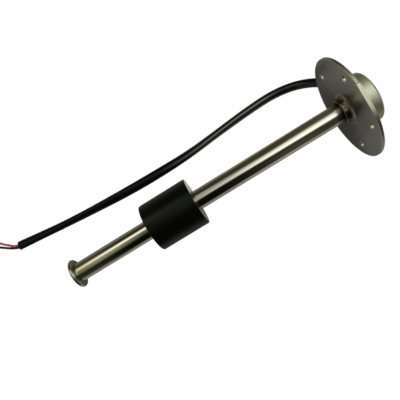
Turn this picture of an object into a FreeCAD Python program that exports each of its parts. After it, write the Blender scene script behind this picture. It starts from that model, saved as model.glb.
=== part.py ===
import FreeCAD, Part
import math
import os

# Tank level sender, in millimetres. The origin is the centre of the flange's sealing face,
# +Z points up out of the tank, the stem hangs along -Z, and the rim's flat faces -Y.

Vector = FreeCAD.Vector
up = Vector(0, 0, 1)
down = Vector(0, 0, -1)

# Flange and its bolt circle
flange_diameter = 70.0
flange_thickness = 2.2
flange_flat_depth = 1.4
flange_edge_break = 0.5
flat_runout_start = 3.0
notch_width = 0.65
notch_depth = 1.5
bolt_circle = 54.0
bolt_count = 5
bolt_hole = 5.3
bolt_first_angle = 90.0

# Head cup and its weld
cup_diameter = 33.5
cup_height = 13.8
cup_wall = 1.0
cup_edge_round = 1.8
cup_weld_width = 1.6
cup_weld_height = 1.4

# Stem tube, its weld and the end stop
stem_diameter = 13.0
stem_wall = 0.8
stem_length = 203.2
stem_stub = 1.2
stem_collar_width = 1.5
stem_collar_height = 4.5
stem_collar_round = 0.5
stem_collar_flare = 0.5
stem_toe_reach = 2.3
stem_toe_height = 0.5
stem_toe_round = 1.6
stop_reach = 3.5
stop_thickness = 2.2
stop_rim_round = 0.95
stop_spigot = 4.0
stop_weld_size = 0.7
stop_weld_throat = 0.2

# Float and its magnet
float_diameter = 33.0
float_height = 34.5
float_clearance = 0.6
float_edge_round = 0.7
float_bore_round = 0.35
float_rest_top = -111.0
magnet_height = 8.0
magnet_wall = 3.6
magnet_recess = 0.3

# Sensor ladder inside the stem
sleeve_wall = 0.4
board_thickness = 1.0
board_gap = 3.2
reed_count = 8
reed_margin = 21.4
reed_diameter = 1.8
reed_glass_length = 10.0
reed_tip_taper = 0.5
reed_lead = 0.5
reed_lead_reach = 2.2
reed_standoff = 0.3
resistor_length = 2.0
resistor_width = 1.25
resistor_thickness = 0.5
foot_thickness = 2.6
bush_length = 6.0
bush_depth = 1.0
potting_gap = 0.1

# Cable, grommet and cores
cable_diameter = 6.5
cable_inside = 0.25
exit_angle = 126.0
exit_headroom = 0.6
grommet_wall = 0.6
grommet_lip = 0.8
grommet_inside = 1.5
grommet_collar = 2.1
grommet_boot = 4.9
grommet_round = 0.4
core_diameter = 1.8
core_gap = 0.9
core_bend = 5.0
core_solder_length = 6.0
breakout_gap = 0.1
breakout_shift = 0.35
breakout_straight = 1.2
tin_length = 7.0
tin_diameter = 0.9

# Clearances, the share of a run that a cord's arc takes up, and how round a weld bead is
slip = 0.05
bond = 0.1
corner_share = 0.45
bead_fullness = 0.8

# Sizes and places that follow from the ones above
flange_top = flange_thickness
flange_flat_distance = flange_diameter / 2 - flange_flat_depth
flat_half_angle = math.acos(flange_flat_distance / (flange_diameter / 2))
cup_top = flange_top + cup_height
cup_bore = cup_diameter - 2 * cup_wall
stem_bottom = -stem_length
stem_top = flange_top + stem_stub
stem_bore = stem_diameter - 2 * stem_wall
stop_diameter = stem_diameter + 2 * stop_reach
spigot_top = stem_bottom + stop_spigot
float_bore = stem_diameter + 2 * float_clearance
float_middle = float_rest_top - float_height / 2
magnet_bore = float_bore + 2 * magnet_recess
magnet_diameter = magnet_bore + 2 * magnet_wall
sleeve_bore = stem_bore - 2 * slip - 2 * sleeve_wall
bush_top = stem_top - bush_depth
bush_bottom = bush_top - bush_length
board_top = bush_bottom - board_gap
board_bottom = spigot_top + foot_thickness
reed_pitch = (board_top - board_bottom - 2 * reed_margin) / (reed_count - 1)
grommet_bore = cable_diameter + 2 * slip
grommet_neck = grommet_bore + 2 * grommet_wall
grommet_flange = grommet_neck + 2 * grommet_lip
exit_height = cup_top - cup_wall - exit_headroom - grommet_flange / 2
potting_top = exit_height - grommet_flange / 2 - potting_gap
cable_start = cup_bore / 2 - grommet_inside - cable_inside
core_place = (core_diameter + core_gap) / 2
core_out = board_thickness / 2 + core_diameter / 2 + slip
exit_direction = Vector(math.cos(math.radians(exit_angle)), math.sin(math.radians(exit_angle)), 0)
across_direction = up.cross(exit_direction)


def corner(before, at, after, radius):
    """Start, middle and end of the arc of this radius that rounds one corner."""
    back = (before - at).normalize()
    on = (after - at).normalize()
    half = back.getAngle(on) / 2
    inward = (back + on).normalize()
    reach = radius / math.tan(half)
    middle = at + inward * (radius / math.sin(half) - radius)
    return at + back * reach, middle, at + on * reach


def path_edges(points, radii, closed):
    """Straight edges through the points, with tangent arcs where a radius is given."""
    count = len(points)
    stops = []
    for index, (point, radius) in enumerate(zip(points, radii)):
        if radius:
            stops.append(corner(points[index - 1], point, points[(index + 1) % count], radius))
        else:
            stops.append((point, None, point))
    edges = []
    for index, (start, middle, end) in enumerate(stops):
        if middle:
            edges.append(Part.Arc(start, middle, end).toShape())
        if index + 1 < count or closed:
            target = stops[(index + 1) % count][0]
            if end.distanceToPoint(target) > 1e-6:
                edges.append(Part.LineSegment(end, target).toShape())
    return edges


def turned(profile):
    """A solid turned about Z from a closed profile of (radius, height, corner round)."""
    points = [Vector(radius, 0, height) for radius, height, rounding in profile]
    radii = [rounding for radius, height, rounding in profile]
    face = Part.Face(Part.Wire(path_edges(points, radii, True)))
    return face.revolve(Vector(), up, 360)


def ring(outer, inner, bottom, top):
    """A plain ring of two diameters between two heights."""
    return turned([(inner / 2, bottom, 0), (outer / 2, bottom, 0), (outer / 2, top, 0), (inner / 2, top, 0)])


def rod(diameter, start, end):
    """A round bar between two points."""
    run = end - start
    return Part.makeCylinder(diameter / 2, run.Length, start, run)


def swept(diameter, points, radii):
    """A round tube along a path of straight runs and tangent arcs."""
    path = Part.Wire(path_edges(points, radii, False))
    section = Part.Wire(Part.Circle(points[0], points[1] - points[0], diameter / 2).toShape())
    return path.makePipeShell([section], True, True)


def along(out, across, height):
    """A point given along the cable's exit, across it, and in height."""
    return exit_direction * out + across_direction * across + up * height


def facing_exit(shape):
    """A shape modelled with its outward side on +X, turned to the cable's exit."""
    shape.rotate(Vector(), up, exit_angle)
    return shape


def rim_flat():
    """What the flat takes off the rim, from its -X end to where it starts to run out."""
    half = flange_diameter / 2
    corner_place = Vector(-half, -flange_flat_distance - half, -flange_thickness)
    return Part.makeBox(half + flat_runout_start, half, 3 * flange_thickness, corner_place)


def rim_runout():
    """What the flat takes off where it runs out, along a circle of the flange's own size."""
    corner_place = Vector(flat_runout_start, -flange_diameter, -flange_thickness)
    block = Part.makeBox(flange_diameter, flange_diameter, 3 * flange_thickness, corner_place)
    centre = Vector(flat_runout_start, flange_flat_depth, -flange_thickness)
    return block.cut(Part.makeCylinder(flange_diameter / 2, 3 * flange_thickness, centre))


def rim_notch():
    """A narrow bar across the rim, at the -X end of its flat."""
    bar = Part.makeBox(2 * notch_depth, notch_width, 3 * flange_thickness)
    bar.translate(Vector(flange_diameter / 2 - notch_depth, -notch_width / 2, -flange_thickness))
    bar.rotate(Vector(), up, -90 - math.degrees(flat_half_angle))
    return bar


def mounting_flange():
    plate = turned([
        (stem_diameter / 2 + slip, 0, 0),
        (flange_diameter / 2, 0, flange_edge_break),
        (flange_diameter / 2, flange_top, flange_edge_break),
        (stem_diameter / 2 + slip, flange_top, 0),
    ])
    plate = plate.cut(rim_flat()).cut(rim_runout()).cut(rim_notch())
    for index in range(bolt_count):
        angle = math.radians(bolt_first_angle + 360 * index / bolt_count)
        place = Vector(math.cos(angle), math.sin(angle), 0) * (bolt_circle / 2) + down * flange_thickness
        plate = plate.cut(Part.makeCylinder(bolt_hole / 2, 3 * flange_thickness, place))
    return plate


def exit_bore(diameter):
    """A bar through the cup's wall on the cable's line."""
    return rod(diameter, along(0, 0, exit_height), along(cup_diameter, 0, exit_height))


def head_cup():
    outer = cup_diameter / 2
    inner = cup_bore / 2
    shell = turned([
        (inner, flange_top, 0),
        (outer, flange_top, 0),
        (outer, cup_top, cup_edge_round),
        (0, cup_top, 0),
        (0, cup_top - cup_wall, 0),
        (inner, cup_top - cup_wall, max(cup_edge_round - cup_wall, slip)),
    ])
    return shell.cut(exit_bore(grommet_neck + 2 * slip))


def cup_weld():
    inner = cup_diameter / 2 + slip
    return turned([
        (inner, flange_top, 0),
        (inner + cup_weld_width, flange_top, 0),
        (inner + cup_weld_width, flange_top + cup_weld_height, cup_weld_height * bead_fullness),
        (inner, flange_top + cup_weld_height, 0),
    ])


def stem_tube():
    return ring(stem_diameter, stem_bore, stem_bottom, stem_top)


def stem_weld():
    """A tall collar against the tube that flares out to a thin toe on the flange."""
    inner = stem_diameter / 2 + slip
    crest = inner + stem_collar_width
    foot = crest + stem_collar_flare
    toe = foot + stem_toe_reach
    return turned([
        (inner, 0, 0),
        (inner, -stem_collar_height, 0),
        (crest, -stem_collar_height, stem_collar_round),
        (foot, -stem_toe_height, stem_toe_round),
        (toe, -slip, 0),
        (toe, 0, 0),
    ])


def end_stop():
    lip_bottom = stem_bottom - stop_thickness
    spigot = stem_bore / 2 - slip
    return turned([
        (0, lip_bottom, 0),
        (stop_diameter / 2, lip_bottom, stop_rim_round),
        (stop_diameter / 2, stem_bottom, stop_rim_round),
        (spigot, stem_bottom, 0),
        (spigot, spigot_top, stop_rim_round / 2),
        (0, spigot_top, 0),
    ])


def stop_weld():
    """A hollow fillet from the tube out on to the end stop's lip."""
    inner = stem_diameter / 2 + slip
    return turned([
        (inner, stem_bottom, 0),
        (inner + stop_weld_size, stem_bottom, 0),
        (inner + stop_weld_throat, stem_bottom + stop_weld_throat, stop_weld_size),
        (inner, stem_bottom + stop_weld_size, 0),
    ])


def float_body():
    """A moulded cylinder, with a groove in its bore that holds the magnet."""
    bottom = float_rest_top - float_height
    groove = magnet_diameter / 2 + bond
    groove_half = magnet_height / 2 + slip
    return turned([
        (float_bore / 2, bottom, float_bore_round),
        (float_diameter / 2, bottom, float_edge_round),
        (float_diameter / 2, float_rest_top, float_edge_round),
        (float_bore / 2, float_rest_top, float_bore_round),
        (float_bore / 2, float_middle + groove_half, 0),
        (groove, float_middle + groove_half, 0),
        (groove, float_middle - groove_half, 0),
        (float_bore / 2, float_middle - groove_half, 0),
    ])


def float_magnet():
    half = magnet_height / 2
    return ring(magnet_diameter, magnet_bore, float_middle - half, float_middle + half)


def cable_grommet():
    """A grommet turned on the cable's line, with its groove cut by the cup's own wall."""
    wall = cup_diameter / 2
    inside = cup_bore / 2 - grommet_inside
    collar_end = wall + grommet_collar
    boot_end = collar_end + grommet_boot
    body = turned([
        (grommet_bore / 2, inside, 0),
        (grommet_flange / 2, inside, grommet_round),
        (grommet_flange / 2, collar_end, grommet_round),
        (grommet_neck / 2, collar_end, grommet_round),
        (grommet_neck / 2, boot_end, grommet_round),
        (grommet_bore / 2, boot_end, 0),
    ])
    body.rotate(Vector(), Vector(0, 1, 0), 90)
    body.translate(up * exit_height)
    groove = ring(cup_diameter + 2 * slip, cup_bore - 2 * slip, 0, cup_top)
    core = rod(grommet_neck, Vector(inside, 0, exit_height), Vector(boot_end, 0, exit_height))
    return facing_exit(body.cut(groove.cut(core)))


def cut_core_holes(plug):
    """The plug with a hole for each of the two cores."""
    box = plug.BoundBox
    for place in (core_place, -core_place):
        low = along(core_out, place, box.ZMin - 1)
        high = along(core_out, place, box.ZMax + 1)
        plug = plug.cut(rod(core_diameter + 2 * slip, low, high))
    return plug


def head_potting():
    """Resin in the bottom of the cup, over the tube's mouth."""
    mouth = stem_diameter / 2 + slip
    outer = cup_bore / 2 - slip
    return cut_core_holes(turned([
        (0, stem_top + slip, 0),
        (mouth, stem_top + slip, 0),
        (mouth, flange_top, 0),
        (outer, flange_top, 0),
        (outer, potting_top, 0),
        (0, potting_top, 0),
    ]))


def lead_bush():
    return cut_core_holes(Part.makeCylinder(stem_bore / 2 - slip, bush_length, up * bush_bottom))


def insulating_sleeve():
    return ring(stem_bore - 2 * slip, sleeve_bore, spigot_top + slip, bush_bottom - slip)


def reed_board():
    """A board whose two long edges rest against the sleeve."""
    half_width = math.sqrt((sleeve_bore / 2) ** 2 - (board_thickness / 2) ** 2) - slip
    board = Part.makeBox(board_thickness, 2 * half_width, board_top - board_bottom)
    board.translate(Vector(-board_thickness / 2, -half_width, board_bottom))
    return facing_exit(board)


def reed_height(index):
    return board_top - reed_margin - index * reed_pitch


def reed_switch(index):
    """A glass capsule behind the board, with a lead from each end bent on to it."""
    middle = reed_height(index)
    half = reed_glass_length / 2
    radius = reed_diameter / 2
    face = -board_thickness / 2 - slip
    axis = face - reed_standoff - radius
    switch = turned([
        (0, middle - half, 0),
        (radius - reed_tip_taper, middle - half, 0),
        (radius, middle - half + reed_tip_taper, 0),
        (radius, middle + half - reed_tip_taper, 0),
        (radius - reed_tip_taper, middle + half, 0),
        (0, middle + half, 0),
    ])
    switch.translate(Vector(axis, 0, 0))
    for side in (-1, 1):
        root = Vector(axis, 0, middle + side * (half - reed_tip_taper))
        knee = Vector(axis, 0, middle + side * (half + reed_lead_reach))
        foot = Vector(face, 0, knee.z)
        elbow = Part.makeSphere(reed_lead / 2, knee)
        switch = switch.fuse([rod(reed_lead, root, knee), elbow, rod(reed_lead, knee, foot)])
    return facing_exit(switch)


def ladder_resistor(index):
    """A chip on the board's front face, half a pitch below its switch."""
    chip = Part.makeBox(resistor_thickness, resistor_width, resistor_length)
    height = reed_height(index) - reed_pitch / 2 - resistor_length / 2
    chip.translate(Vector(board_thickness / 2 + slip, -resistor_width / 2, height))
    return facing_exit(chip)


def board_foot():
    return Part.makeCylinder(sleeve_bore / 2 - slip, foot_thickness - 2 * slip, up * (spigot_top + slip))


def inner_lead(place):
    """A core from the cable's inner end, down through the bush to the board's face."""
    points = [
        along(cable_start, place, exit_height),
        along(core_out, place, exit_height),
        along(core_out, place, board_top - core_solder_length),
    ]
    return swept(core_diameter, points, [0, core_bend, 0])


# Routes of the free cable and of the two cores past its end
cable_route = [
    along(cable_start, 0, exit_height),
    along(31.5, 0, exit_height),
    Vector(-26.7, 39.0, 5.3),
    Vector(-33.9, 48.3, -6.8),
    Vector(-37.3, 53.0, -24.0),
    Vector(-36.6, 53.0, -47.0),
    Vector(-34.4, 51.0, -74.0),
    Vector(-31.9, 48.5, -101.0),
    Vector(-31.6, 46.0, -128.0),
    Vector(-32.2, 44.0, -155.0),
    Vector(-33.7, 42.0, -181.0),
    Vector(-35.7, 40.5, -207.0),
    Vector(-38.3, 39.5, -230.0),
    Vector(-40.4, 39.0, -248.5),
]
jacket_end = cable_route[-1]
jacket_direction = (cable_route[-1] - cable_route[-2]).normalize()
jacket_across = jacket_direction.cross(Vector(0, 1, 0)).normalize()
breakout_half = (core_diameter + breakout_gap) / 2
pink_start = jacket_end + jacket_across * (breakout_shift - breakout_half)
black_start = jacket_end + jacket_across * (breakout_shift + breakout_half)
pink_route = [
    pink_start,
    pink_start + jacket_direction * breakout_straight,
    Vector(-42.5, 38.5, -253.0),
    Vector(-45.3, 38.3, -255.7),
    Vector(-47.8, 38.2, -258.7),
    Vector(-50.8, 38.0, -261.2),
    Vector(-53.6, 38.0, -264.6),
    Vector(-55.9, 38.0, -269.2),
    Vector(-57.6, 38.0, -274.7),
    Vector(-58.3, 38.0, -281.7),
]
black_route = [
    black_start,
    black_start + jacket_direction * breakout_straight,
    Vector(-41.1, 39.3, -254.0),
    Vector(-43.4, 39.5, -257.6),
    Vector(-46.1, 39.3, -261.2),
    Vector(-48.8, 39.0, -264.7),
    Vector(-51.0, 39.0, -268.4),
    Vector(-52.8, 39.0, -272.9),
    Vector(-54.1, 39.0, -278.3),
    Vector(-54.6, 39.0, -283.6),
]


def route_radii(name, points):
    """The largest tangent arc that each corner of a route has room for."""
    radii = [0]
    for before, at, after in zip(points, points[1:], points[2:]):
        turn = (at - before).getAngle(after - at)
        shorter = min(before.distanceToPoint(at), at.distanceToPoint(after))
        radii.append(corner_share * shorter / math.tan(turn / 2))
    radii.append(0)
    print(name, "radii:", [round(radius, 1) for radius in radii[1:-1]])
    return radii


def cord(name, diameter, points):
    """A cord's tube along its route, with its volume held against section times length."""
    radii = route_radii(name, points)
    length = Part.Wire(path_edges(points, radii, False)).Length
    tube = swept(diameter, points, radii)
    expected = math.pi * diameter ** 2 / 4 * length
    print(name, "length", round(length, 1), "volume share", round(tube.Volume / expected, 4))
    return tube


def tinned_end(points):
    """The stripped, tinned strands that carry on straight from a core's end."""
    direction = (points[-1] - points[-2]).normalize()
    return rod(tin_diameter, points[-1], points[-1] + direction * tin_length)


def save(name, shape):
    shape.exportStep(os.path.join("parts", name + ".step"))


os.makedirs("parts", exist_ok=True)
save("mounting_flange", mounting_flange())
save("head_cup", head_cup())
save("cup_weld", cup_weld())
save("stem_tube", stem_tube())
save("stem_weld", stem_weld())
save("end_stop", end_stop())
save("stop_weld", stop_weld())
save("float_body", float_body())
save("float_magnet", float_magnet())
save("cable_grommet", cable_grommet())
save("head_potting", head_potting())
save("lead_bush", lead_bush())
save("insulating_sleeve", insulating_sleeve())
save("reed_board", reed_board())
save("board_foot", board_foot())
save("inner_lead_pink", inner_lead(core_place))
save("inner_lead_black", inner_lead(-core_place))
for number in range(reed_count):
    save("reed_switch_%d" % (number + 1), reed_switch(number))
    save("ladder_resistor_%d" % (number + 1), ladder_resistor(number))
save("signal_cable", cord("signal_cable", cable_diameter, cable_route))
save("lead_pink", cord("lead_pink", core_diameter, pink_route))
save("lead_black", cord("lead_black", core_diameter, black_route))
save("pink_tinned_end", tinned_end(pink_route))
save("black_tinned_end", tinned_end(black_route))
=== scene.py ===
import math
import bpy
import numpy as np
from mathutils import Matrix, Vector


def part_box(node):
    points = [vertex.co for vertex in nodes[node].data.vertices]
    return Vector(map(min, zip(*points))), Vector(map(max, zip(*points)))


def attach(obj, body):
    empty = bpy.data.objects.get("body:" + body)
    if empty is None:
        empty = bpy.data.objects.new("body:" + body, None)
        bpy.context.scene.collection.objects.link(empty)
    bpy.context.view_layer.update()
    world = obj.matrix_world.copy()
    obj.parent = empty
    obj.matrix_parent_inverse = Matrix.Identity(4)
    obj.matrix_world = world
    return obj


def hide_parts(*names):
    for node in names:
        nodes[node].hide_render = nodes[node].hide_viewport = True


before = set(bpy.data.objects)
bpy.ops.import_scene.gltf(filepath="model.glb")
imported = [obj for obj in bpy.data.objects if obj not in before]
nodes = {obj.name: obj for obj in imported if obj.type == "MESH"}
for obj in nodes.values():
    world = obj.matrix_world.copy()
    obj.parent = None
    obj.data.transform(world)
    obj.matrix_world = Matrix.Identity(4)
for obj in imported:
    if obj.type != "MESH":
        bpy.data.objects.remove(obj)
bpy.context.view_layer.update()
fullTurn = 2 * math.pi
print("frame loaded,", len(nodes), "nodes")

# camera, fitted to the photograph's flange ellipse, holes and stem edges
cameraSet = {
    "place": (-0.00771, -0.26277, -0.08957),
    "look": (0.03220, 0.99678, -0.07343),
    "upward": (-0.85100, 0.06587, 0.52101),
    "lens": 36.43,
    "sensor": 36.0,
    "nearest": 0.01,
}


def placeCamera():
    look = Vector(cameraSet["look"]).normalized()
    side = look.cross(Vector(cameraSet["upward"])).normalized()
    upward = side.cross(look)
    turn = Matrix((side, upward, -look)).transposed()
    cameraData = bpy.data.cameras.new("photoCamera")
    cameraData.lens = cameraSet["lens"]
    cameraData.sensor_width = cameraSet["sensor"]
    cameraData.clip_start = cameraSet["nearest"]
    camera = bpy.data.objects.new("photoCamera", cameraData)
    camera.matrix_world = Matrix.Translation(cameraSet["place"]) @ turn.to_4x4()
    bpy.context.scene.collection.objects.link(camera)
    bpy.context.scene.camera = camera


placeCamera()
bpy.context.scene.view_settings.view_transform = "Standard"
print("camera placed")


# node helpers shared by the materials

def newMaterial(name):
    material = bpy.data.materials.new(name)
    material.use_nodes = True
    tree = material.node_tree
    return material, tree, tree.nodes["Principled BSDF"]


def setInputs(tree, node, inputs):
    # another node's output is linked, and anything else is set on the node's own socket
    for key, value in inputs.items():
        if isinstance(value, bpy.types.NodeSocket):
            tree.links.new(value, node.inputs[key])
        else:
            node.inputs[key].default_value = value


def addNode(tree, kind, inputs=None, **settings):
    node = tree.nodes.new(kind)
    for key, value in settings.items():
        setattr(node, key, value)
    setInputs(tree, node, inputs or {})
    return node


def mathNode(tree, operation, *values, clamp=False):
    node = addNode(tree, "ShaderNodeMath", dict(enumerate(values)), operation=operation, use_clamp=clamp)
    return node.outputs["Value"]


def objectPlace(tree):
    return addNode(tree, "ShaderNodeTexCoord").outputs["Object"]


def objectAxis(tree, axis):
    split = addNode(tree, "ShaderNodeSeparateXYZ", {"Vector": objectPlace(tree)})
    return split.outputs[axis]


def stretchedNoise(tree, grain, detail=3.0, roughness=0.5):
    # noise with its own scale along each axis of the object
    mapping = addNode(tree, "ShaderNodeMapping", {"Vector": objectPlace(tree), "Scale": grain})
    noise = addNode(tree, "ShaderNodeTexNoise", {"Vector": mapping.outputs["Vector"], "Scale": 1.0,
                                                 "Detail": detail, "Roughness": roughness})
    return noise.outputs["Fac"]


def spread(tree, value, low=0.0, high=1.0, fromLow=0.3, fromHigh=0.7):
    # low to high as the value goes over its own range, and most of a noise lies between 0.3 and 0.7
    node = addNode(tree, "ShaderNodeMapRange", {"Value": value, "From Min": fromLow, "From Max": fromHigh,
                                                "To Min": low, "To Max": high})
    return node.outputs["Result"]


def blendColours(tree, factor, first, second):
    # each of the two is a colour or another node's output
    mix = addNode(tree, "ShaderNodeMix", data_type="RGBA")
    colourSockets = [socket for socket in mix.inputs if socket.type == "RGBA"]
    tree.links.new(factor, mix.inputs["Factor"])
    for socket, value in zip(colourSockets, (first, second)):
        if isinstance(value, bpy.types.NodeSocket):
            tree.links.new(value, socket)
        else:
            socket.default_value = (*value, 1.0)
    return next(socket for socket in mix.outputs if socket.type == "RGBA")


def colourSteps(tree, value, steps):
    ramp = addNode(tree, "ShaderNodeValToRGB", {"Fac": value})
    while len(ramp.color_ramp.elements) < len(steps):
        ramp.color_ramp.elements.new(0.5)
    for element, (place, colour) in zip(ramp.color_ramp.elements, steps):
        element.position = place
        element.color = (*colour, 1.0)
    return ramp.outputs["Color"]


def axisRadius(tree, inner, outer, aside=0.0):
    # 0 at the inner and 1 at the outer distance from the stem's axis, or from a line aside of it in Y
    moved = addNode(tree, "ShaderNodeVectorMath", {0: objectPlace(tree), 1: (0.0, aside, 0.0)},
                    operation="SUBTRACT")
    flat = addNode(tree, "ShaderNodeVectorMath", {0: moved.outputs["Vector"], 1: (1.0, 1.0, 0.0)},
                   operation="MULTIPLY")
    reach = addNode(tree, "ShaderNodeVectorMath", {0: flat.outputs["Vector"]}, operation="LENGTH")
    return spread(tree, reach.outputs["Value"], fromLow=inner, fromHigh=outer)


def faceShare(tree, sideUntil=0.5, faceFrom=0.95):
    # 1 on faces square to the stem's axis and 0 on the sides, by the upright share of the normal
    normal = addNode(tree, "ShaderNodeTexCoord").outputs["Normal"]
    split = addNode(tree, "ShaderNodeSeparateXYZ", {"Vector": normal})
    upright = mathNode(tree, "ABSOLUTE", split.outputs["Z"])
    return spread(tree, upright, fromLow=sideUntil, fromHigh=faceFrom)


def bumpFrom(tree, height, strength, distance):
    bump = addNode(tree, "ShaderNodeBump", {"Height": height, "Strength": strength, "Distance": distance})
    return bump.outputs["Normal"]


# steel finishes

polishedSet = {
    "tube": {"light": (0.67, 0.65, 0.585), "dark": (0.55, 0.525, 0.455),
             "grain": (1500, 1500, 18), "smooth": 0.10, "dull": 0.15},
    "stop": {"light": (0.53, 0.525, 0.41), "dark": (0.47, 0.465, 0.36),
             "grain": (220, 220, 700), "smooth": 0.15, "dull": 0.20},
    # the stop's weld is dark as a heat-tinted joint, and darker still as painted shade of the groove
    # between the tube and the lip
    "stopWeld": {"light": (0.20, 0.19, 0.145), "dark": (0.15, 0.14, 0.105),
                 "grain": (220, 220, 700), "smooth": 0.22, "dull": 0.30},
    "smudgeGrain": (90, 90, 40),
    "tint": (0.14, 0.11, 0.075),
    "tintFrom": -0.0085,
    "tintTo": -0.0055,
}


def polishedSteel(piece):
    # grain in two shades, smudges in the gloss, and heat tint close under the flange
    material, tree, surface = newMaterial(piece + "Steel")
    finish = polishedSet[piece]
    drawn = stretchedNoise(tree, finish["grain"], detail=4.0, roughness=0.6)
    smudge = stretchedNoise(tree, polishedSet["smudgeGrain"])
    colour = blendColours(tree, spread(tree, drawn), finish["light"], finish["dark"])
    height = objectAxis(tree, "Z")
    hot = spread(tree, height, fromLow=polishedSet["tintFrom"], fromHigh=polishedSet["tintTo"])
    setInputs(tree, surface, {
        "Base Color": blendColours(tree, hot, colour, polishedSet["tint"]),
        "Roughness": spread(tree, smudge, finish["smooth"], finish["dull"]),
        "Metallic": 1.0,
    })
    return material


satinSet = {
    "flange": {"light": (0.51, 0.51, 0.435), "dark": (0.42, 0.415, 0.355),
               "grain": (1500, 1500, 1500), "roughness": 0.26, "turned": 0.72},
    "cup": {"light": (0.66, 0.66, 0.57), "dark": (0.54, 0.535, 0.46),
            "grain": (500, 500, 2600), "roughness": 0.42, "turned": 0.50},
    "cloudGrain": (60, 60, 60),
    "cloudRoughness": 0.05,
    "grainBump": 0.08,
    "grainDepth": 0.00005,
}
# the flange's flat faces, which are duller than its rim, with painted shade that makes them darker behind
# the stem and on the far side
faceSet = {
    "light": (0.68, 0.662, 0.616),
    "dark": (0.55, 0.534, 0.494),
    "roughness": 0.33,
    "shade": (0.165, 0.150, 0.135),
    "shadeInner": 0.0090,
    "shadeOuter": 0.0460,
    "shadeAside": 0.0150,
    "farShade": 0.70,
    "farFrom": 0.004,
    "farTo": 0.022,
}


def layFaces(tree, fine, rimColour, rimRoughness):
    # colour and roughness with the flat faces laid over those of the rim, the faces darkened by painted
    # shade behind the stem and on the far side
    face = blendColours(tree, spread(tree, fine), faceSet["light"], faceSet["dark"])
    # painted shade, darkest a little behind the stem and easing out towards the rim
    away = axisRadius(tree, faceSet["shadeInner"], faceSet["shadeOuter"], faceSet["shadeAside"])
    face = blendColours(tree, away, faceSet["shade"], face)
    # painted shade on the far side of the faces
    depth = objectAxis(tree, "Y")
    far = spread(tree, depth, 1.0, faceSet["farShade"], faceSet["farFrom"], faceSet["farTo"])
    shaded = addNode(tree, "ShaderNodeVectorMath", {0: face, "Scale": far}, operation="SCALE")
    flat = faceShare(tree)
    colour = blendColours(tree, flat, rimColour, shaded.outputs["Vector"])
    return colour, spread(tree, flat, rimRoughness, faceSet["roughness"], 0.0, 1.0)


def satinSteel(piece):
    # fine grain in two shades, clouds in the gloss, and turning marks round the stem's axis
    material, tree, surface = newMaterial(piece + "Steel")
    finish = satinSet[piece]
    fine = stretchedNoise(tree, finish["grain"], detail=4.0, roughness=0.65)
    cloud = stretchedNoise(tree, satinSet["cloudGrain"])
    colour = blendColours(tree, spread(tree, fine), finish["light"], finish["dark"])
    rough = finish["roughness"]
    if piece == "flange":
        colour, rough = layFaces(tree, fine, colour, rough)
    clouded = spread(tree, cloud, -satinSet["cloudRoughness"], satinSet["cloudRoughness"])
    marks = addNode(tree, "ShaderNodeTangent", direction_type="RADIAL", axis="Z")
    setInputs(tree, surface, {
        "Base Color": colour,
        "Roughness": mathNode(tree, "ADD", clouded, rough),
        "Normal": bumpFrom(tree, fine, satinSet["grainBump"], satinSet["grainDepth"]),
        "Tangent": marks.outputs["Tangent"],
        "Anisotropic": finish["turned"],
        "Metallic": 1.0,
    })
    return material


weldSet = {
    # share of the way from the inner to the outer radius, and the heat tint there; the light step at 0.28,
    # on the crest next to the tube, is a painted highlight
    "steps": [(0.0, (0.08, 0.070, 0.050)), (0.20, (0.10, 0.088, 0.062)), (0.28, (0.22, 0.200, 0.150)),
              (0.36, (0.095, 0.082, 0.055)), (0.55, (0.19, 0.158, 0.105)), (0.78, (0.34, 0.325, 0.295)),
              (1.0, (0.32, 0.308, 0.285))],
    "blotchGrain": (380, 380, 380),
    "blotchShift": 0.11,
    "smooth": 0.26,
    "dull": 0.40,
}


def weldSteel(name, inner, outer):
    # heat tint in rings round the stem's axis, with one light ring that is a painted highlight, their edges
    # shifted by blotches
    material, tree, surface = newMaterial(name)
    place = axisRadius(tree, inner, outer)
    blotch = stretchedNoise(tree, weldSet["blotchGrain"])
    shift = spread(tree, blotch, -weldSet["blotchShift"], weldSet["blotchShift"])
    setInputs(tree, surface, {
        "Base Color": colourSteps(tree, mathNode(tree, "ADD", place, shift), weldSet["steps"]),
        "Roughness": spread(tree, blotch, weldSet["smooth"], weldSet["dull"]),
        "Metallic": 1.0,
    })
    return material


# rubber, plastic and the small inner finishes

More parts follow.
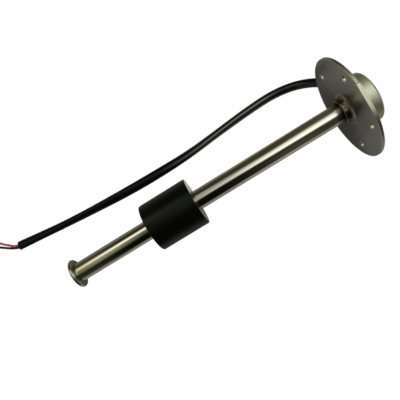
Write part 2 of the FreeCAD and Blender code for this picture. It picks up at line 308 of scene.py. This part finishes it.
mouldedSet = {
    "cableJacket": {"colour": (0.0008, 0.0011, 0.0008), "second": (0.0014, 0.0019, 0.0013),
                    "roughness": 0.34, "grain": (1600, 1600, 220), "bump": 0.02, "sheen": 0.11},
    "pinkInsulation": {"colour": (0.34, 0.036, 0.072), "second": (0.29, 0.029, 0.058),
                       "roughness": 0.36, "grain": (1500, 1500, 500), "bump": 0.06, "sheen": 0.3},
    "blackInsulation": {"colour": (0.005, 0.005, 0.005), "second": (0.008, 0.008, 0.008),
                        "roughness": 0.36, "grain": (1500, 1500, 500), "bump": 0.06, "sheen": 0.25},
    "grommetRubber": {"colour": (0.008, 0.008, 0.008), "second": (0.013, 0.013, 0.012),
                      "roughness": 0.55, "grain": (1800, 1800, 1800), "bump": 0.15, "sheen": 0.3},
    "magnetFerrite": {"colour": (0.04, 0.04, 0.042), "second": (0.06, 0.06, 0.06),
                      "roughness": 0.55, "grain": (900, 900, 900), "bump": 0.2, "sheen": 0.5},
    "pottingResin": {"colour": (0.018, 0.018, 0.018), "second": (0.026, 0.026, 0.026),
                     "roughness": 0.25, "grain": (300, 300, 300), "bump": 0.05, "sheen": 0.5},
    "sleevePlastic": {"colour": (0.72, 0.72, 0.69), "second": (0.66, 0.66, 0.63),
                      "roughness": 0.45, "grain": (700, 700, 90), "bump": 0.05, "sheen": 0.5},
    "boardLaminate": {"colour": (0.045, 0.20, 0.08), "second": (0.035, 0.16, 0.06),
                      "roughness": 0.40, "grain": (2200, 2200, 2200), "bump": 0.08, "sheen": 0.5},
    "chipCeramic": {"colour": (0.03, 0.03, 0.03), "second": (0.05, 0.05, 0.05),
                    "roughness": 0.40, "grain": (3000, 3000, 3000), "bump": 0.05, "sheen": 0.5},
}
# what all the moulded finishes share
skinSet = {
    "cloudGrain": (70, 70, 35),
    "uneven": 0.06,
    "depth": 0.00005,
}


def mouldedFinish(name):
    # two shades in soft clouds, and a fine skin in the gloss and the bump
    material, tree, surface = newMaterial(name)
    finish = mouldedSet[name]
    fine = stretchedNoise(tree, finish["grain"], detail=4.0, roughness=0.6)
    cloud = stretchedNoise(tree, skinSet["cloudGrain"])
    smooth = finish["roughness"] - skinSet["uneven"]
    dull = finish["roughness"] + skinSet["uneven"]
    setInputs(tree, surface, {
        "Base Color": blendColours(tree, spread(tree, cloud), finish["colour"], finish["second"]),
        "Roughness": spread(tree, fine, smooth, dull),
        "Normal": bumpFrom(tree, fine, finish["bump"], skinSet["depth"]),
        "Specular IOR Level": finish["sheen"],
    })
    return material


jacketSet = {
    "gloss": 1.78,
    "glossRoughness": 0.07,
    "leastGloss": 0.06,
    "glossFrom": -0.128,
    "glossTo": -0.088,
    "headFrom": -0.028,
    "headTo": -0.008,
    "headGloss": 0.35,
}


def jacketFinish():
    # extruded jacket with a skin that is glossiest below the bend at the head
    material = mouldedFinish("cableJacket")
    tree = material.node_tree
    height = objectAxis(tree, "Z")
    skin = spread(tree, height, jacketSet["leastGloss"], 1.0, jacketSet["glossFrom"], jacketSet["glossTo"])
    head = spread(tree, height, 1.0, jacketSet["headGloss"], jacketSet["headFrom"], jacketSet["headTo"])
    setInputs(tree, tree.nodes["Principled BSDF"], {
        "Coat Weight": mathNode(tree, "MULTIPLY", skin, head),
        "Coat IOR": jacketSet["gloss"],
        "Coat Roughness": jacketSet["glossRoughness"],
    })
    return material


floatSet = {
    "colour": (0.0006, 0.0008, 0.0005),
    "second": (0.0011, 0.0013, 0.0008),
    "sideRoughness": 0.30,
    "endRoughness": 0.12,
    "sideMargin": 0.00012,  # the side's finish gives way to the end's between these depths below the end
    "endMargin": 0.00004,
    "sheen": 0.19,
    "sheenTint": (0.90, 1.0, 0.76, 1.0),
    "bloom": 0.016,
    "bloomRoughness": 0.45,
    "bloomTint": (0.85, 1.0, 0.70, 1.0),
}


def floatFinish():
    # matte round the side, and smoother on the two moulded end faces by the distance from the middle
    material, tree, surface = newMaterial("floatRubber")
    low, high = (corner.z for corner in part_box("float_body"))
    half = (high - low) / 2
    cloud = stretchedNoise(tree, skinSet["cloudGrain"])
    offset = mathNode(tree, "SUBTRACT", objectAxis(tree, "Z"), (low + high) / 2)
    away = mathNode(tree, "ABSOLUTE", offset)
    rough = spread(tree, away, floatSet["sideRoughness"], floatSet["endRoughness"],
                   half - floatSet["sideMargin"], half - floatSet["endMargin"])
    setInputs(tree, surface, {
        "Base Color": blendColours(tree, spread(tree, cloud), floatSet["colour"], floatSet["second"]),
        "Roughness": rough,
        "Specular IOR Level": floatSet["sheen"],
        "Specular Tint": floatSet["sheenTint"],
        "Sheen Weight": floatSet["bloom"],
        "Sheen Roughness": floatSet["bloomRoughness"],
        "Sheen Tint": floatSet["bloomTint"],
    })
    return material


tinnedSet = {
    "light": (0.66, 0.66, 0.64),
    "dark": (0.48, 0.47, 0.45),
    "grain": (2500, 2500, 600),
    "smooth": 0.22,
    "dull": 0.38,
}


def tinnedFinish():
    material, tree, surface = newMaterial("tinnedStrands")
    fine = stretchedNoise(tree, tinnedSet["grain"])
    setInputs(tree, surface, {
        "Base Color": blendColours(tree, spread(tree, fine), tinnedSet["light"], tinnedSet["dark"]),
        "Roughness": spread(tree, fine, tinnedSet["smooth"], tinnedSet["dull"]),
        "Metallic": 1.0,
    })
    return material


glassSet = {
    "light": (0.60, 0.80, 0.68),
    "dark": (0.50, 0.72, 0.60),
    "grain": (900, 900, 200),
    "roughness": 0.08,
    "clear": 0.8,
}


def glassFinish():
    material, tree, surface = newMaterial("reedGlass")
    fine = stretchedNoise(tree, glassSet["grain"], detail=2.0)
    setInputs(tree, surface, {
        "Base Color": blendColours(tree, spread(tree, fine), glassSet["light"], glassSet["dark"]),
        "Roughness": glassSet["roughness"],
        "Transmission Weight": glassSet["clear"],
    })
    return material


jacketPlastic = jacketFinish()
pinkPlastic = mouldedFinish("pinkInsulation")
blackPlastic = mouldedFinish("blackInsulation")
softRubber = mouldedFinish("grommetRubber")
strandMetal = tinnedFinish()
nodeFinishes = {
    "stem_tube": polishedSteel("tube"),
    "end_stop": polishedSteel("stop"),
    "stop_weld": polishedSteel("stopWeld"),
    "mounting_flange": satinSteel("flange"),
    "head_cup": satinSteel("cup"),
    "float_body": floatFinish(),
    "float_magnet": mouldedFinish("magnetFerrite"),
    "cable_grommet": softRubber,
    "lead_bush": softRubber,
    "board_foot": softRubber,
    "inner_lead_pink": pinkPlastic,
    "inner_lead_black": blackPlastic,
    "head_potting": mouldedFinish("pottingResin"),
    "insulating_sleeve": mouldedFinish("sleevePlastic"),
    "reed_board": mouldedFinish("boardLaminate"),
    "ladder_resistor": mouldedFinish("chipCeramic"),
    "reed_switch": glassFinish(),
}
print("finishes made")


def dressFrame():
    # a numbered node takes the finish that is under its name without the number
    for name, node in nodes.items():
        finish = nodeFinishes.get(name.rstrip("_0123456789"))
        if finish:
            node.data.materials.clear()
            node.data.materials.append(finish)


dressFrame()
print("frame nodes dressed")


# mesh helpers for the added pieces

def gridMesh(name, points, material, closedAcross=True, closedAlong=False, capped=False, flatSides=0):
    # points is an array of rings by points by 3, joined into quads ring to ring;
    # the last flatSides sides of each ring are shaded flat
    rings, across = points.shape[:2]
    mesh = bpy.data.meshes.new(name)
    ring, side = np.meshgrid(np.arange(rings if closedAlong else rings - 1),
                             np.arange(across if closedAcross else across - 1), indexing="ij")
    nextRing = (ring + 1) % rings
    nextSide = (side + 1) % across
    quads = np.stack([ring * across + side, ring * across + nextSide,
                      nextRing * across + nextSide, nextRing * across + side], axis=-1)
    faces = quads.reshape(-1, 4).tolist()
    smooth = (side < across - flatSides).ravel()
    if capped:  # one flat face over the first ring and one over the last
        faces.append(np.arange(across)[::-1].tolist())
        faces.append(np.arange((rings - 1) * across, rings * across).tolist())
        smooth = np.append(smooth, [False, False])
    mesh.from_pydata(points.reshape(-1, 3), [], faces)
    mesh.polygons.foreach_set("use_smooth", smooth)
    mesh.materials.append(material)
    mesh.update()
    piece = bpy.data.objects.new(name, mesh)
    bpy.context.scene.collection.objects.link(piece)
    return piece


def nurbsLine(route, name, fineness=24):
    # points along the smooth NURBS curve that has the route as its control points
    curve = bpy.data.curves.new(name, "CURVE")
    curve.dimensions = "3D"
    curve.resolution_u = fineness
    spline = curve.splines.new("NURBS")
    spline.points.add(len(route) - 1)
    spline.points.foreach_set("co", np.column_stack([route, np.ones(len(route))]).ravel())
    spline.order_u = 3
    spline.use_endpoint_u = True
    holder = bpy.data.objects.new(name, curve)
    mesh = bpy.data.meshes.new_from_object(holder)
    line = np.empty(len(mesh.vertices) * 3)
    mesh.vertices.foreach_get("co", line)
    bpy.data.meshes.remove(mesh)
    bpy.data.objects.remove(holder)
    bpy.data.curves.remove(curve)
    return line.reshape(-1, 3)


def unit(vectors):
    return vectors / np.linalg.norm(vectors, axis=-1, keepdims=True)


def lineFrame(line, reference):
    # tangent, side and normal at each point, the side kept near the reference direction
    tangent = unit(np.gradient(line, axis=0))
    reference = np.asarray(reference, float)
    side = unit(reference - (tangent @ reference)[:, None] * tangent)
    return tangent, side, np.cross(tangent, side)


def lineLength(line):
    # length from the first point to each point
    return np.concatenate([[0.0], np.cumsum(np.linalg.norm(np.diff(line, axis=0), axis=1))])


def tubeAlong(name, line, reference, section, material, across, endRings=()):
    # ring point = line + side * first section axis + normal * second section axis;
    # the end rings go on from the last one, each by a step along the line and a share of its size
    tangent, side, normal = lineFrame(line, reference)
    along = lineLength(line)
    steps = np.array([step for step, share in endRings])
    shares = np.concatenate([np.ones(len(line)), [share for step, share in endRings]])
    last = np.full(len(endRings), len(line) - 1)
    pick = np.concatenate([np.arange(len(line)), last]).astype(int)
    centre = line[pick]
    centre[len(line):] += tangent[-1] * steps.reshape(-1, 1)
    angle = np.linspace(0, fullTurn, across, endpoint=False)[None, :]
    first, second = section(along[pick][:, None], angle)
    reach = side[pick][:, None] * first[..., None] + normal[pick][:, None] * second[..., None]
    points = centre[:, None] + reach * shares[:, None, None]
    return gridMesh(name, points, material, capped=True)


def smoothStep(value, low, high):
    # 0 below low and 1 above high, eased between them by 3 share squared - 2 share cubed
    share = np.clip((value - low) / (high - low), 0.0, 1.0)
    return share * share * (3 - 2 * share)


def hump(value, riseFrom, riseTo, fallFrom, fallTo):
    # a smooth step up over the rise times a smooth step down over the fall
    return smoothStep(value, riseFrom, riseTo) * (1 - smoothStep(value, fallFrom, fallTo))


def standIn(piece, nodeName):
    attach(piece, "sender")
    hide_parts(nodeName)


# signal cable: an oval two-core jacket that turns slowly about its own line

cableSet = {
    "route": [(-0.00823, 0.01133, 0.00970), (-0.01852, 0.02548, 0.00970), (-0.0267, 0.0390, 0.0053),
              (-0.0339, 0.0483, -0.0068), (-0.0373, 0.0530, -0.0240), (-0.0366, 0.0530, -0.0470),
              (-0.0344, 0.0510, -0.0740), (-0.0319, 0.0485, -0.1010), (-0.0316, 0.0460, -0.1280),
              (-0.0322, 0.0440, -0.1550), (-0.0337, 0.0420, -0.1810), (-0.0357, 0.0405, -0.2070),
              (-0.0383, 0.0395, -0.2300), (-0.0404, 0.0390, -0.2485)],
    "exit": (-0.01396, 0.01921, 0.00970),
    "wide": 0.0074,
    "narrow": 0.0057,
    "round": 0.0065,
    "halfTurn": 0.141,
    "widestAt": 0.182,
    "roundUntil": 0.045,
    "ovalFrom": 0.175,
    "endRings": [(0.0, 0.97), (0.0, 0.74), (-0.0006, 0.72)],
    "across": (1.0, 0.0, 0.0),
    "sides": 48,
}


def cableSection(along, angle):
    # an ellipse whose long axis turns with length, eased to a circle where the grommet grips it
    oval = smoothStep(along, cableSet["roundUntil"], cableSet["ovalFrom"])
    half = cableSet["round"] / 2
    long = half + oval * (cableSet["wide"] / 2 - half)
    short = half + oval * (cableSet["narrow"] / 2 - half)
    turn = math.pi * (cableSet["widestAt"] - along) / cableSet["halfTurn"]
    first = long * np.cos(angle - turn)
    second = short * np.sin(angle - turn)
    return first * np.cos(turn) - second * np.sin(turn), first * np.sin(turn) + second * np.cos(turn)


def makeCable():
    line = nurbsLine(cableSet["route"], "cableLine")
    cable = tubeAlong("signalCable", line, cableSet["across"], cableSection, jacketPlastic,
                      cableSet["sides"], cableSet["endRings"])
    standIn(cable, "signal_cable")


# the two cores past the jacket's end, each with its stripped and twisted strands

coreSet = {
    "pink": [(-0.04100, 0.0390, -0.24843), (-0.04113, 0.03897, -0.24962), (-0.0425, 0.0385, -0.2530),
             (-0.0453, 0.0383, -0.2557), (-0.0478, 0.0382, -0.2587), (-0.0508, 0.0380, -0.2612),
             (-0.0536, 0.0380, -0.2646), (-0.0559, 0.0380, -0.2692), (-0.0576, 0.0380, -0.2747),
             (-0.0583, 0.0380, -0.2817)],
    "black": [(-0.03911, 0.0390, -0.24865), (-0.03924, 0.03897, -0.24984), (-0.0411, 0.0393, -0.2540),
              (-0.0434, 0.0395, -0.2576), (-0.0461, 0.0393, -0.2612), (-0.0488, 0.0390, -0.2647),
              (-0.0510, 0.0390, -0.2684), (-0.0528, 0.0390, -0.2729), (-0.0541, 0.0390, -0.2783),
              (-0.0546, 0.0390, -0.2836)],
    "diameter": 0.0018,
    "across": (0.0, 1.0, 0.0),
    "sides": 28,
    "strandLength": 0.007,
    "strandRadius": 0.00045,
    "strandSides": 56,
    "strandRings": 60,
    "lobes": 7,
    "lobeDepth": 0.13,
    "twists": 1.6,
    "taper": 0.35,
    "taperFrom": 0.86,
}


def coreSection(along, angle):
    # a circle of one radius all the way along
    radius = np.full_like(along, coreSet["diameter"] / 2)
    return radius * np.cos(angle), radius * np.sin(angle)


def strandSection(along, angle):
    # a lobed circle that turns with length, drawn in at the far end
    length = coreSet["strandLength"]
    turn = fullTurn * coreSet["twists"] * along / length
    lobed = 1 + coreSet["lobeDepth"] * np.cos(coreSet["lobes"] * (angle - turn))
    drawnIn = 1 - coreSet["taper"] * smoothStep(along, length * coreSet["taperFrom"], length)
    radius = coreSet["strandRadius"] * lobed * drawnIn
    return radius * np.cos(angle), radius * np.sin(angle)


def makeCore(colour, material):
    route = coreSet[colour]
    line = nurbsLine(route, colour + "Line")
    core = tubeAlong(colour + "Core", line, coreSet["across"], coreSection, material, coreSet["sides"])
    onward = unit(line[-1] - line[-2])
    reach = np.linspace(0, coreSet["strandLength"], coreSet["strandRings"])[:, None]
    strands = tubeAlong(colour + "Strands", line[-1] + onward * reach, coreSet["across"], strandSection,
                        strandMetal, coreSet["strandSides"])
    standIn(core, "lead_" + colour)
    standIn(strands, colour + "_tinned_end")


makeCable()
makeCore("pink", pinkPlastic)
makeCore("black", blackPlastic)
print("cable and cores laid")


# weld beads: a turned profile whose height and reach ripple round the ring

stemWeldSet = {
    # radius and depth that steer the turned profile, from the tube's wall out to the flange
    "profile": [(0.00652, 0.00395), (0.00690, 0.00440), (0.00745, 0.00462), (0.00800, 0.00455),
                (0.00825, 0.00400), (0.00838, 0.00300), (0.00855, 0.00190), (0.00895, 0.00105),
                (0.00950, 0.00055), (0.01015, 0.00025), (0.01070, 0.00008), (0.01100, 0.0)],
    "tintReach": (0.0068, 0.0112),
    "ripples": 22,
    "rippleDepth": 0.00007,
    "rippleLean": 250,
    "rippleReach": (0.0084, 0.0094, 0.0102, 0.0109),  # radii between which it rises, and then falls
    "lumps": [(0.6, 5, 0.8, 0), (0.4, 9, 2.0, 400)],  # share, count round the ring, phase and lean
    "lumpDepth": 0.00017,
    "lumpReach": (0.0070, 0.0080, 0.0100, 0.0109),
    "leanAbout": 0.0087,
    "outward": 0.6,
    "steps": 528,
    "fineness": 10,
}
cupWeldSet = {
    "inner": 0.01672,
    "outer": 0.0184,
    "height": 0.0014,
    "tintReach": (0.0165, 0.0188),
    "ripples": 52,
    "rippleDepth": 0.00022,
    "rippleLean": 0.4,
    "heightShare": 0.5,
    "steps": 1040,
    "profileSteps": 24,
}
# how uneven the ripples of both beads are, in terms like the lumps' above, and their mean level
rippleSet = {
    "wander": [(0.25, 3, 0.7, 0), (0.18, 7, 2.1, 0)],
    "level": 0.6,
}


def slowWaves(angle, terms, aside=0.0):
    # the sum over the terms of share * sine of (count * angle + phase + lean * distance aside)
    return sum(share * np.sin(count * angle + phase + lean * aside) for share, count, phase, lean in terms)


def rippleWave(angle, count, lean):
    # half circles side by side round the ring, shifted by the lean like overlapping drops,
    # less their mean level and times 1 + a slow wander
    phase = (angle * count / fullTurn + lean) % 1.0
    drops = np.sqrt(np.clip(1 - (2 * phase - 1) ** 2, 0, 1))
    return (drops - rippleSet["level"]) * (1 + slowWaves(angle, rippleSet["wander"]))


def ringGrid(radius, height, angle):
    # point = (radius * cosine of angle, radius * sine of angle, height)
    radius, height, angle = np.broadcast_arrays(radius, height, angle)
    return np.stack([radius * np.cos(angle), radius * np.sin(angle), height], axis=-1)


def layBead(name, points, tintReach, nodeName):
    # the two sides that close each ring, against the flange and the wall, are shaded flat
    steel = weldSteel(name + "Steel", *tintReach)
    bead = gridMesh(name + "Bead", points, steel, closedAlong=True, flatSides=2)
    standIn(bead, nodeName)


def makeStemWeld():
    # a smooth profile turned about the stem; bulge = leaning scallops on its flare + slow lumps outside
    # the tube's wall, and the surface moves down by the bulge and outwards by a share of it
    weld = stemWeldSet
    profile = nurbsLine([(radius, 0.0, -depth) for radius, depth in weld["profile"]], "weldProfile",
                        weld["fineness"])
    radius = np.append(profile[:, 0], profile[0, 0])[None, :]  # the last point closes it on the flange
    height = np.append(profile[:, 2], 0.0)[None, :]
    angle = np.linspace(0, fullTurn, weld["steps"], endpoint=False)[:, None]
    aside = radius - weld["leanAbout"]
    ripple = weld["rippleDepth"] * rippleWave(angle, weld["ripples"], weld["rippleLean"] * aside)
    lumps = weld["lumpDepth"] * hump(radius, *weld["lumpReach"]) * slowWaves(angle, weld["lumps"], aside)
    bulge = hump(radius, *weld["rippleReach"]) * ripple + lumps
    points = ringGrid(radius + weld["outward"] * bulge, height - bulge, angle)[::-1]
    layBead("stemWeld", points, weld["tintReach"], "stem_weld")


def makeCupWeld():
    # a quarter round from the cup's wall out to the flange: reach = sine and height = cosine of the swing,
    # both times 1 + the ripples
    weld = cupWeldSet
    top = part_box("mounting_flange")[1].z
    angle = np.linspace(0, fullTurn, weld["steps"], endpoint=False)[:, None]
    share = np.linspace(0, 1, weld["profileSteps"])[None, :]
    swing = share * math.pi / 2
    wave = rippleWave(angle, weld["ripples"], weld["rippleLean"] * share)
    ripple = 1 + weld["rippleDepth"] / weld["height"] * wave
    radius = weld["inner"] + (weld["outer"] - weld["inner"]) * np.sin(swing) * ripple
    height = top + weld["height"] * np.cos(swing) * (1 + weld["heightShare"] * (ripple - 1))
    corner = np.ones((weld["steps"], 1))  # closes the ring on the flange, by the cup's wall
    radius = np.concatenate([radius, corner * weld["inner"]], axis=1)
    height = np.concatenate([height, corner * top], axis=1)
    layBead("cupWeld", ringGrid(radius, height, angle), weld["tintReach"], "cup_weld")


makeStemWeld()
makeCupWeld()
print("weld beads laid")


# studio: a white surround, a pale floor, soft lamps, and a drum of panels that only the reflections see

studioSet = {
    "fill": 0.42,
    "floorHeight": -1.0,
    "floorSize": 10.0,
    "floorSteps": 9,
    "floorColour": (0.97, 0.97, 0.965),
    "floorRoughness": 0.9,
    "sunStrength": 2.15,
    "sunAngle": 1.0,
    "sunTilt": (18, -14, 0),
    "keyPlace": (-0.45, -1.05, 0.15),
    "keyAim": (0, 0, -0.1),
    "keySize": (1.0, 1.3),
    "keyPower": 6.5,
    "drumRadius": 0.8,
    "drumHalf": 0.9,
    "drumAcross": 360,
    "drumRows": 120,
    "leanFrom": 0.16,
    "cardHalf": 0.9,
    "cardSteps": 5,
    "cardColour": (1.0, 0.99, 0.96),
    "ceilingGlow": 0.30,
    "tableGlow": 0.30,
}
# soft panels on the drum: azimuth and height from and to, how soft each of those four edges is, and the
# panel's glow and colour; a glow below 0 is a flag that takes light away; azimuth 0 is towards the camera
# and 90 towards +X; below leanFrom the lean draws in the far side of a panel by so many degrees a metre,
# and a lean below 0 lets it out
panelSet = {
    "dimRound": {"azimuth": (-400, 400), "height": (-2, 2), "soft": (1, 1, 1, 1),
                 "glow": 0.003, "colour": (0.95, 1.0, 0.82)},
    "dimAbove": {"azimuth": (-400, 400), "height": (0.04, 2), "soft": (1, 1, 0.4, 1),
                 "glow": 0.050, "colour": (1.0, 0.97, 0.70)},
    "dimBelow": {"azimuth": (-400, 400), "height": (-2, -0.46), "soft": (1, 1, 1, 0.16),
                 "glow": 0.024, "colour": (0.92, 1.0, 0.60)},
    "dimLeft": {"azimuth": (-125, -55), "height": (-2, 2), "soft": (20, 20, 1, 1),
                "glow": 0.046, "colour": (1.0, 0.83, 0.54)},
    "leftLine": {"azimuth": (-122, -113), "height": (-2, -0.02), "soft": (8, 8, 1, 0.2),
                 "lean": -20, "glow": 0.080, "colour": (1.0, 1.0, 0.84)},
    "leftLight": {"azimuth": (-126, -115), "height": (-0.50, -0.01), "soft": (8, 12, 0.16, 0.16),
                  "lean": -20, "glow": 0.110, "colour": (1.0, 0.98, 0.82)},
    "leftThin": {"azimuth": (-93, -83), "height": (-0.17, 0.07), "soft": (8, 8, 0.1, 0.1),
                 "glow": 0.032, "colour": (1.0, 0.92, 0.72)},
    "leftGlow": {"azimuth": (-146, -119), "height": (-0.10, 0.09), "soft": (24, 12, 0.12, 0.12),
                 "glow": 0.105, "colour": (1.0, 0.92, 0.60)},
    "leftFlagHigh": {"azimuth": (-111, -97), "height": (0.0, 0.2), "soft": (8, 8, 0.1, 0.1),
                     "glow": -0.030, "colour": (0.9, 1.0, 0.95)},
    "leftFlagLow": {"azimuth": (-80, -67), "height": (0.0, 0.13), "soft": (8, 8, 0.1, 0.1),
                    "glow": -0.028, "colour": (0.9, 0.95, 0.75)},
    "keyHigh": {"azimuth": (-37, 9), "height": (-0.075, 0.28), "soft": (48, 17, 0.34, 0.10),
                "lean": 33, "glow": 1.72, "colour": (0.97, 1.0, 0.93)},
    "keyFlag": {"azimuth": (-52, -21), "height": (0.0, 0.13), "soft": (16, 16, 0.08, 0.08),
                "glow": -0.19, "colour": (0.97, 1.0, 0.93)},
    "keyMiddle": {"azimuth": (-53, 2), "height": (-0.29, -0.10), "soft": (16, 18, 0.12, 0.14),
                  "glow": 0.33, "colour": (1.0, 0.99, 0.88)},
    "keyLow": {"azimuth": (-52, -29), "height": (-0.47, -0.25), "soft": (16, 20, 0.2, 0.22),
               "glow": 1.65, "colour": (1.0, 0.98, 0.90)},
    "keyEnd": {"azimuth": (-56, -26), "height": (-2, -0.47), "soft": (22, 20, 1, 0.2),
               "glow": 0.78, "colour": (1.0, 0.89, 0.62)},
    "keyTail": {"azimuth": (-46, 14), "height": (-0.55, -0.39), "soft": (24, 36, 0.14, 0.22),
                "glow": 0.27, "colour": (1.0, 0.98, 0.62)},
    "keyFoot": {"azimuth": (-46, 14), "height": (-2, -0.55), "soft": (24, 36, 1, 0.14),
                "glow": 0.12, "colour": (1.0, 0.98, 0.62)},
    "keySpread": {"azimuth": (-30, 8), "height": (-0.50, -0.33), "soft": (20, 30, 0.10, 0.08),
                  "glow": 0.13, "colour": (1.0, 0.98, 0.66)},
    "rightBrown": {"azimuth": (36, 76), "height": (0.035, 0.18), "soft": (16, 14, 0.06, 0.08),
                   "glow": 0.035, "colour": (1.0, 0.94, 0.62)},
    "rightUp": {"azimuth": (90, 128), "height": (-0.05, 0.15), "soft": (16, 16, 0.10, 0.08),
                "glow": 0.085, "colour": (1.0, 0.97, 0.82)},
    "rightEdge": {"azimuth": (92, 120), "height": (-0.38, 0.17), "soft": (16, 16, 0.12, 0.10),
                  "glow": 0.075, "colour": (1.0, 0.98, 0.84)},
    "cupWash": {"azimuth": (-44, 18), "height": (0.28, 2), "soft": (46, 34, 0.10, 1),
                "glow": 1.25, "colour": (0.96, 1.0, 0.76)},
    "rightBack": {"azimuth": (94, 150), "height": (-2, 2), "soft": (24, 40, 1, 1),
                  "glow": 0.27, "colour": (1.0, 0.98, 0.88)},
    "rightLow": {"azimuth": (72, 104), "height": (-2, -0.45), "soft": (24, 24, 1, 0.16),
                 "glow": 0.06, "colour": (1.0, 1.0, 0.80)},
    "leftBack": {"azimuth": (-165, -126), "height": (-0.28, 2), "soft": (40, 22, 0.2, 1),
                 "glow": 0.28, "colour": (1.0, 0.91, 0.60)},
    "leftBackLow": {"azimuth": (-165, -126), "height": (-2, -0.28), "soft": (40, 22, 1, 0.2),
                    "glow": 0.14, "colour": (1.0, 0.98, 0.80)},
    "backStrip": {"azimuth": (180.3, 192), "height": (-0.085, -0.010), "soft": (8, 8, 0.02, 0.02),
                  "glow": 0.85, "colour": (1.0, 1.0, 0.99)},
    "backDim": {"azimuth": (168, 181), "height": (-0.075, -0.015), "soft": (6, 6, 0.02, 0.02),
                "glow": 0.22, "colour": (1.0, 1.0, 0.97)},
    "backEdge": {"azimuth": (158, 202), "height": (-2, 2), "soft": (20, 20, 1, 1),
                 "glow": 0.06, "colour": (1.0, 0.99, 0.95)},
    "backLow": {"azimuth": (125, 235), "height": (-2, -0.32), "soft": (50, 50, 1, 0.16),
                "glow": 0.10, "colour": (1.0, 0.99, 0.94)},
}


def whiteSurround():
    # white where the camera, a reflection or glass sees it, and a weaker fill on matte surfaces
    world = bpy.data.worlds.new("whiteSurround")
    bpy.context.scene.world = world
    world.use_nodes = True
    tree = world.node_tree
    tree.nodes.clear()
    rays = addNode(tree, "ShaderNodeLightPath").outputs
    direct = mathNode(tree, "ADD", rays["Is Camera Ray"], rays["Is Glossy Ray"])
    seen = mathNode(tree, "ADD", direct, rays["Is Transmission Ray"], clamp=True)
    fill = addNode(tree, "ShaderNodeBackground", {"Color": (1, 1, 1, 1), "Strength": studioSet["fill"]})
    white = addNode(tree, "ShaderNodeBackground", {"Color": (1, 1, 1, 1), "Strength": 1.0})
    mix = addNode(tree, "ShaderNodeMixShader", {0: seen, 1: fill.outputs[0], 2: white.outputs[0]})
    addNode(tree, "ShaderNodeOutputWorld", {"Surface": mix.outputs[0]})


def levelSheet(half, steps, height):
    # an even square grid of points at one height, in rows along X
    span = np.linspace(-half, half, steps)
    gridX, gridY = np.meshgrid(span, span)
    return np.stack([gridX, gridY, np.full_like(gridX, height)], axis=-1)


def layFloor():
    material, tree, surface = newMaterial("paleFloor")
    setInputs(tree, surface, {
        "Base Color": (*studioSet["floorColour"], 1.0),
        "Roughness": studioSet["floorRoughness"],
        "Specular IOR Level": 0.0,
    })
    points = levelSheet(studioSet["floorSize"] / 2, studioSet["floorSteps"], studioSet["floorHeight"])
    floor = gridMesh("paleFloor", points, material, closedAcross=False)


def glowMaterial(name):
    # an emission coloured by the piece's own glow attribute
    material, tree = newMaterial(name)[:2]
    tree.nodes.clear()
    glow = addNode(tree, "ShaderNodeAttribute", attribute_name="glow")
    light = addNode(tree, "ShaderNodeEmission", {"Color": glow.outputs["Color"], "Strength": 1.0})
    addNode(tree, "ShaderNodeOutputMaterial", {"Surface": light.outputs[0]})
    return material


def stageCard(name, points, glow, closedAcross=False):
    card = gridMesh(name, points, glowMaterial(name), closedAcross)
    layer = card.data.attributes.new("glow", "FLOAT_COLOR", "POINT")
    colours = np.concatenate([glow, np.ones(glow.shape[:2] + (1,))], axis=-1)
    layer.data.foreach_set("color", colours.ravel())
    card.visible_camera = False
    card.visible_diffuse = False
    card.visible_shadow = False
    card.visible_transmission = False


def band(value, low, high, softLow, softHigh):
    # 1 between low and high, easing to 0 over the soft width centred on each end
    return hump(value, low - softLow / 2, low + softLow / 2, high - softHigh / 2, high + softHigh / 2)


def standDrum():
    # glow = the sum over the panels of colour * glow * band of azimuth * band of height, and never below 0;
    # point = (radius * sine of azimuth, -radius * cosine of azimuth, height)
    azimuth = np.linspace(-180, 180, studioSet["drumAcross"], endpoint=False)[None, :]
    height = np.linspace(-studioSet["drumHalf"], studioSet["drumHalf"], studioSet["drumRows"])[:, None]
    glow = np.zeros((studioSet["drumRows"], studioSet["drumAcross"], 3))
    for panel in panelSet.values():
        softStart, softEnd, softLow, softHigh = panel["soft"]
        start, end = panel["azimuth"]
        end = end + panel.get("lean", 0) * np.minimum(height - studioSet["leanFrom"], 0)
        turns = [band(azimuth + turn, start, end, softStart, softEnd) for turn in (-360, 0, 360)]
        share = np.max(turns, axis=0) * band(height, *panel["height"], softLow, softHigh)
        glow += panel["glow"] * share[..., None] * np.array(panel["colour"])
    radius = studioSet["drumRadius"]
    bearing, height = np.broadcast_arrays(np.radians(azimuth), height)
    points = np.stack([radius * np.sin(bearing), -radius * np.cos(bearing), height], axis=-1)
    stageCard("panelDrum", points, np.maximum(glow, 0.0), closedAcross=True)


def layCards():
    # even cards over and under the drum
    half, steps = studioSet["cardHalf"], studioSet["cardSteps"]
    even = np.ones((steps, steps, 3)) * np.array(studioSet["cardColour"])
    for name, side in (("ceiling", 1), ("table", -1)):
        points = levelSheet(half, steps, side * studioSet["drumHalf"]).swapaxes(0, 1)
        stageCard(name + "Card", points, even * studioSet[name + "Glow"])


def hangLamps():
    sun = bpy.data.lights.new("softSun", "SUN")
    sun.energy = studioSet["sunStrength"]
    sun.angle = studioSet["sunAngle"]
    sunObject = bpy.data.objects.new("softSun", sun)
    sunObject.rotation_euler = [math.radians(tilt) for tilt in studioSet["sunTilt"]]
    key = bpy.data.lights.new("keyPanel", "AREA")
    key.shape = "RECTANGLE"
    key.size, key.size_y = studioSet["keySize"]
    key.energy = studioSet["keyPower"]
    keyObject = bpy.data.objects.new("keyPanel", key)
    keyObject.location = studioSet["keyPlace"]
    aim = Vector(studioSet["keyAim"]) - Vector(studioSet["keyPlace"])
    keyObject.rotation_euler = aim.to_track_quat("-Z", "Y").to_euler()
    for lamp in (sunObject, keyObject):
        lamp.visible_glossy = False
        bpy.context.scene.collection.objects.link(lamp)


whiteSurround()
layFloor()
standDrum()
layCards()
hangLamps()
print("studio lit")
